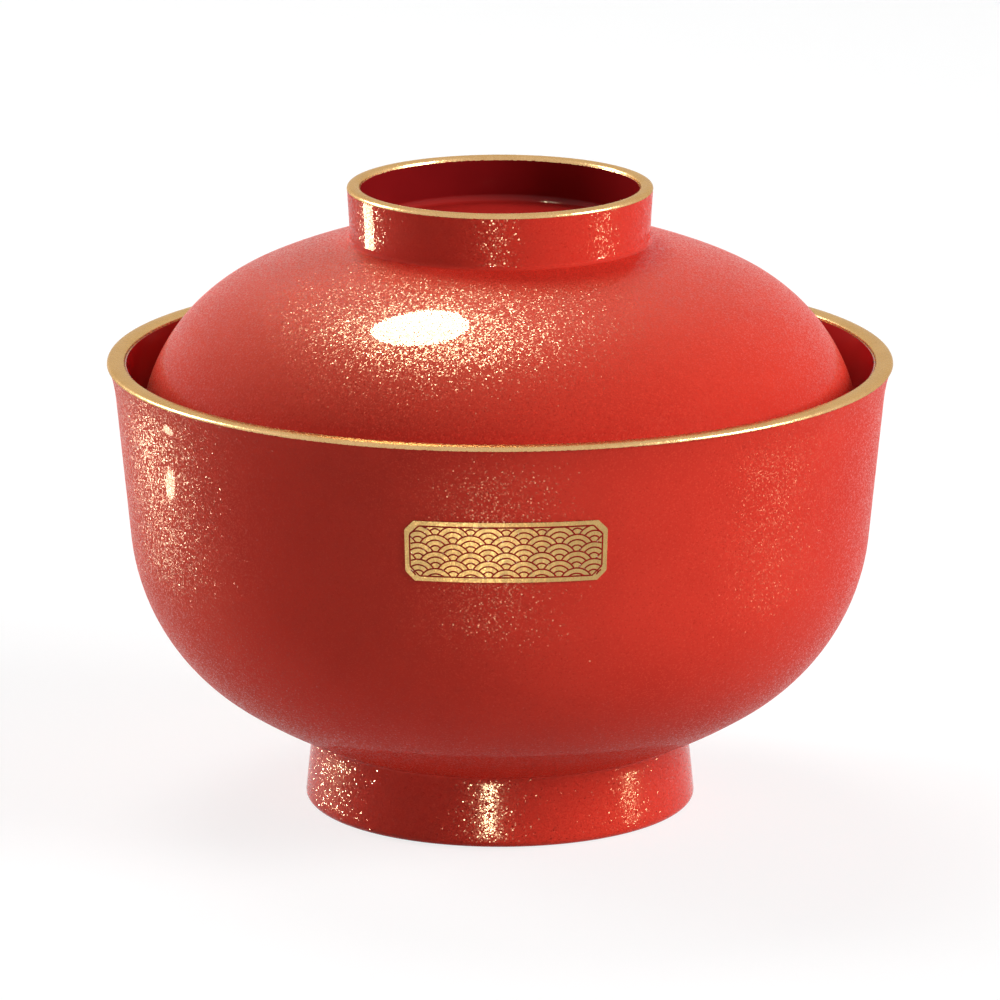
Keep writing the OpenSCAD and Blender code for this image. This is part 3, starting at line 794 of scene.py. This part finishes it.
# wave scales: staggered rows of ring parts, trimmed inside a border line
def buildWaveTree():
    tree, given, put = startGroup(
        "waveScales", "GeometryNodeTree",
        panelSockets("Width", "Height", "Corner", "Middle", "Gap", "Thickness", "Wave Radius", "Line Width",
                     "Line Rise", "Border"), [("Lines", "NodeSocketGeometry")])
    waveRadius, rise = given["Wave Radius"], waveGrid["rise"]
    columns, rows = waveGrid["columns"], waveGrid["rows"]
    rings = addNode(tree, "GeometryNodeJoinGeometry")
    for share in waveGrid["rings"]:
        # where this ring meets the scales of the row below
        between = math.acos((share ** 2 + rise ** 2) / (2.0 * math.hypot(1.0, rise) * share))
        cut = between - math.atan(rise)
        ring = addNode(tree, "GeometryNodeCurveArc", {
            "Resolution": waveGrid["ringPoints"], "Radius": calc(tree, "MULTIPLY", waveRadius, share),
            "Start Angle": cut, "Sweep Angle": math.pi - 2.0 * cut}, mode="RADIUS").outputs["Curve"]
        tree.links.new(ring, rings.inputs[0])
    grid = addNode(tree, "GeometryNodeMeshGrid", {
        "Size X": calc(tree, "MULTIPLY", waveRadius, 2.0 * (columns - 1)),
        "Size Y": calc(tree, "MULTIPLY", waveRadius, rise * (rows - 1)),
        "Vertices X": columns, "Vertices Y": rows}).outputs["Mesh"]
    split = splitPlace(tree)
    row = calc(tree, "ROUND", calc(tree, "DIVIDE", split[1], calc(tree, "MULTIPLY", waveRadius, rise)))
    odd = calc(tree, "ABSOLUTE", calc(tree, "MODULO", row, 2.0))
    stagger = addNode(tree, "ShaderNodeCombineXYZ", {0: calc(tree, "MULTIPLY", odd, waveRadius)}).outputs[0]
    spots = addNode(tree, "GeometryNodeSetPosition", {"Geometry": grid, "Offset": stagger}).outputs[0]
    curves = addNode(tree, "GeometryNodeInstanceOnPoints", {
        "Points": spots, "Instance": rings.outputs[0]}).outputs[0]
    curves = addNode(tree, "GeometryNodeRealizeInstances", {"Geometry": curves}).outputs[0]
    across = calc(tree, "ADD", calc(tree, "ABSOLUTE", split[0]), given["Border"])
    upwards = calc(tree, "ADD", calc(tree, "ABSOLUTE", split[1]), given["Border"])
    tooFar = calc(tree, "GREATER_THAN", across, plateReach(tree, given, split[1]))
    tooHigh = calc(tree, "GREATER_THAN", upwards, calc(tree, "MULTIPLY", given["Height"], 0.5))
    curves = addNode(tree, "GeometryNodeDeleteGeometry", {
        "Geometry": curves, "Selection": calc(tree, "MAXIMUM", tooFar, tooHigh)}, domain="POINT").outputs[0]
    count = addNode(tree, "GeometryNodeSplineLength").outputs["Point Count"]
    curves = addNode(tree, "GeometryNodeDeleteGeometry", {
        "Geometry": curves, "Selection": calc(tree, "LESS_THAN", count, waveGrid["fewestPoints"])},
        domain="CURVE").outputs[0]
    inset = calc(tree, "MULTIPLY", given["Border"], 2.0)
    border = addNode(tree, "GeometryNodeCurvePrimitiveQuadrilateral", {
        "Width": calc(tree, "SUBTRACT", given["Width"], inset),
        "Height": calc(tree, "SUBTRACT", given["Height"], inset)}, mode="RECTANGLE").outputs[0]
    border = addNode(tree, "GeometryNodeFilletCurve", {
        "Curve": border, "Count": 1, "Radius": given["Corner"]}, mode="POLY").outputs[0]
    border = addNode(tree, "GeometryNodeResampleCurve", {
        "Curve": border, "Count": waveGrid["borderPoints"]}).outputs[0]
    lines = addNode(tree, "GeometryNodeJoinGeometry")
    tree.links.new(curves, lines.inputs[0])
    tree.links.new(border, lines.inputs[0])
    section = addNode(tree, "GeometryNodeCurvePrimitiveCircle", {
        "Resolution": waveGrid["sectionPoints"],
        "Radius": calc(tree, "MULTIPLY", given["Line Width"], 0.5)}).outputs["Curve"]
    drawn = addNode(tree, "GeometryNodeCurveToMesh", {
        "Curve": lines.outputs[0], "Profile Curve": section, "Fill Caps": True}).outputs[0]
    thick = calc(tree, "DIVIDE", calc(tree, "MULTIPLY", given["Line Rise"], 2.0), given["Line Width"])
    face = calc(tree, "ADD", given["Gap"], given["Thickness"])
    inwards = calc(tree, "MULTIPLY", calc(tree, "MULTIPLY", split[2], thick), -1.0)
    flat = addNode(tree, "ShaderNodeCombineXYZ", {
        0: split[0], 1: calc(tree, "SUBTRACT", inwards, face), 2: split[1]}).outputs[0]
    drawn = addNode(tree, "GeometryNodeSetPosition", {"Geometry": drawn, "Position": flat}).outputs[0]
    drawn = addNode(tree, "GeometryNodeSetShadeSmooth", {
        "Geometry": drawn, "Shade Smooth": True}).outputs[0]
    return finishTree(tree, given, put, bendOnWall(tree, given, drawn))


panelValues = {label: size * mm for label, size in panelShape.items()}
panelGold = runTree(newPiece("panelGold", [(0.0, 0.0, 0.0)]), buildPlateTree(), {
    **panelValues, "Finish": makeGold("panelGoldPowder", goldFinish["panel"])})
seat(panelGold, "bowl", "gold", "gold_panel")
panelWaves = runTree(newPiece("panelWaves", [(0.0, 0.0, 0.0)]), buildWaveTree(), {
    **panelValues, "Finish": makePlainLacquer("waveRed", plainFinish["wave"])})
seat(panelWaves, "bowl", "plain_lacquer")


# studio: camera, lamps and a pale floor
cameraSet = {
    "place": (-0.0173, -1.0999, 0.32202), "aim": (0.0, 0.0, 0.04678), "lens": 265.93, "sensor": 36.0}
sight = Vector(cameraSet["aim"]) - Vector(cameraSet["place"])
camera = bpy.data.objects.new("photoCamera", bpy.data.cameras.new("photoCamera"))
scene.collection.objects.link(camera)
camera.location = cameraSet["place"]
camera.rotation_euler = sight.to_track_quat("-Z", "Y").to_euler()
camera.data.lens = cameraSet["lens"]
camera.data.sensor_width = cameraSet["sensor"]
scene.camera = camera

# wide lamps light the body colour, glints the lacquer's shine and rim lamps the gold bands
# azimuth 0 is the front, positive to the right; sizes and distances in metres
lampSet = {
    "topWide": {"aim": (0.0, 0.0, 0.05), "azimuth": -159.0, "elevation": 61.0, "distance": 1.2,
                "width": 0.6, "height": 0.6, "radiance": 5.6, "shape": "ELLIPSE", "use": "body"},
    "rightWide": {"aim": (0.0, 0.0, 0.05), "azimuth": 66.0, "elevation": 27.0, "distance": 1.3,
                  "width": 0.7, "height": 0.7, "radiance": 10.4, "shape": "RECTANGLE", "use": "body"},
    "leftWide": {"aim": (0.0, 0.0, 0.05), "azimuth": -116.0, "elevation": 20.0, "distance": 1.3,
                 "width": 0.6, "height": 0.7, "radiance": 8.2, "shape": "RECTANGLE", "use": "body"},
    "crownGlint": {"aim": (-0.01246, -0.03745, 0.08195), "azimuth": -156.8, "elevation": 62.1,
                   "distance": 1.0, "width": 0.25, "height": 0.41, "roll": -42.4, "radiance": 320.0,
                   "shape": "ELLIPSE", "use": "shine"},
    "frontGlint": {"aim": (0.0, 0.0, 0.045), "azimuth": -7.0, "elevation": 0.0, "distance": 0.85,
                   "width": 0.06, "height": 0.08, "radiance": 900.0, "shape": "RECTANGLE", "use": "shine",
                   "color": (1.0, 0.90, 0.74)},
    "leftGlint": {"aim": (0.0, 0.0, 0.02), "azimuth": -117.0, "elevation": 0.0, "distance": 0.27,
                  "width": 0.065, "height": 0.03, "radiance": 120.0, "shape": "RECTANGLE", "use": "shine"},
    "leftCore": {"aim": (-0.0508, -0.027, 0.056), "azimuth": -121.5, "elevation": -19.1, "distance": 0.12,
                 "width": 0.014, "height": 0.005, "radiance": 85.0, "shape": "ELLIPSE", "use": "bowl"},
    "rightGlint": {"aim": (0.0, 0.0, 0.02), "azimuth": 80.0, "elevation": 0.0, "distance": 0.40,
                   "width": 0.05, "height": 0.03, "radiance": 240.0, "shape": "RECTANGLE", "use": "shine"},
    "footGlint": {"aim": (0.0, 0.0, 0.01), "azimuth": -117.0, "elevation": 0.0, "distance": 0.27,
                  "width": 0.13, "height": 0.02, "radiance": 240.0, "shape": "RECTANGLE", "use": "foot"},
    "leftRim": {"aim": (0.0, 0.0, 0.07), "azimuth": -112.0, "elevation": 24.0, "distance": 1.2,
                "width": 0.45, "height": 0.45, "radiance": 22.0, "shape": "RECTANGLE", "use": "trim"},
    "rightRim": {"aim": (0.0, 0.0, 0.07), "azimuth": 74.0, "elevation": 24.0, "distance": 1.2,
                 "width": 0.45, "height": 0.45, "radiance": 30.0, "shape": "RECTANGLE", "use": "trim"}}

studioSet = {
    "wide": (1.0, 1.0, 1.0), "glint": (1.0, 0.82, 0.54), "fill": (0.10, 0.10, 0.105),
    "floor": (0.60, 0.59, 0.58), "floorSeen": (0.28, 0.28, 0.28), "floorGlow": 0.76, "floorReach": 4.0,
    "floorDrop": 0.0001}


# the pieces that a lamp alone lights, or leaves out
def lightGroup(label, pieces, state):
    group = bpy.data.collections.new(label)
    for piece in pieces:
        group.objects.link(piece)
    for entry in group.collection_objects:
        entry.light_linking.link_state = state
    return group


# the gold bands are left out of the shine; bands, foot and bowl have lamps of their own
lightGroups = {
    "shine": lightGroup("notBands", (rimGold, gripGold), "EXCLUDE"),
    "trim": lightGroup("goldBands", (rimGold, gripGold), "INCLUDE"),
    "bowl": lightGroup("bowlAlone", (bowlLacquer,), "INCLUDE"),
    "foot": lightGroup("footAlone", (footLacquer,), "INCLUDE")}

for lampName, lamp in lampSet.items():
    data = bpy.data.lights.new(lampName, "AREA")
    data.shape, data.size, data.size_y = lamp["shape"], lamp["width"], lamp["height"]
    area = lamp["width"] * lamp["height"] * (math.pi / 4.0 if lamp["shape"] == "ELLIPSE" else 1.0)
    data.energy = math.pi * area * lamp["radiance"]
    data.color = lamp.get("color", studioSet["wide" if lamp["use"] in ("body", "trim") else "glint"])
    azimuth, elevation = lamp["azimuth"], lamp["elevation"]
    flat = cosDeg(elevation)
    towards = Vector((sinDeg(azimuth) * flat, -cosDeg(azimuth) * flat, sinDeg(elevation)))
    holder = bpy.data.objects.new(lampName, data)
    scene.collection.objects.link(holder)
    holder.location = Vector(lamp["aim"]) + towards * lamp["distance"]
    roll = Quaternion((0.0, 0.0, 1.0), math.radians(lamp.get("roll", 0.0)))
    holder.rotation_euler = ((-towards).to_track_quat("-Z", "Y") @ roll).to_euler()
    holder.visible_glossy = lamp["use"] != "body"
    holder.visible_diffuse = lamp["use"] == "body"
    if lamp["use"] in lightGroups:
        holder.light_linking.receiver_collection = lightGroups[lamp["use"]]


# 1 for rays that see the background, straight or in a reflection
def seenRay(tree):
    path = addNode(tree, "ShaderNodeLightPath").outputs
    straight = calc(tree, "MAXIMUM", path["Is Camera Ray"], path["Is Glossy Ray"])
    return calc(tree, "MAXIMUM", straight, path["Is Transmission Ray"])


world = bpy.data.worlds.new("studioWorld")
scene.world = world
world.use_nodes = True
tree = world.node_tree
tree.nodes.clear()
fill = addNode(tree, "ShaderNodeBackground", {"Color": (*studioSet["fill"], 1.0)}).outputs[0]
white = addNode(tree, "ShaderNodeBackground", {"Color": (1.0, 1.0, 1.0, 1.0)}).outputs[0]
sky = addNode(tree, "ShaderNodeMixShader", {0: seenRay(tree), 1: fill, 2: white}).outputs[0]
addNode(tree, "ShaderNodeOutputWorld", {"Surface": sky})

# the floor is clear from below, so that the foot can be looked at
floorMaterial, tree, out = startMaterial("paleFloor")
matt = addNode(tree, "ShaderNodeBsdfDiffuse", {"Color": (*studioSet["floor"], 1.0)}).outputs[0]
shaded = addNode(tree, "ShaderNodeBsdfDiffuse", {"Color": (*studioSet["floorSeen"], 1.0)}).outputs[0]
glow = addNode(tree, "ShaderNodeEmission", {"Strength": studioSet["floorGlow"]}).outputs[0]
lit = addNode(tree, "ShaderNodeAddShader", {0: shaded, 1: glow}).outputs[0]
surface = addNode(tree, "ShaderNodeMixShader", {0: seenRay(tree), 1: matt, 2: lit}).outputs[0]
below = addNode(tree, "ShaderNodeNewGeometry").outputs["Backfacing"]
clear = addNode(tree, "ShaderNodeBsdfTransparent").outputs[0]
surface = addNode(tree, "ShaderNodeMixShader", {0: below, 1: surface, 2: clear}).outputs[0]
tree.links.new(surface, out.inputs["Surface"])

reach, level = studioSet["floorReach"], -studioSet["floorDrop"]
corners = [(-reach, -reach, level), (reach, -reach, level), (reach, reach, level), (-reach, reach, level)]
floorMesh = bpy.data.meshes.new("paleFloor")
floorMesh.from_pydata(corners, [], [(0, 1, 2, 3)])
floor = bpy.data.objects.new("paleFloor", floorMesh)
scene.collection.objects.link(floor)
floorMesh.materials.append(floorMaterial)
print("studio set")
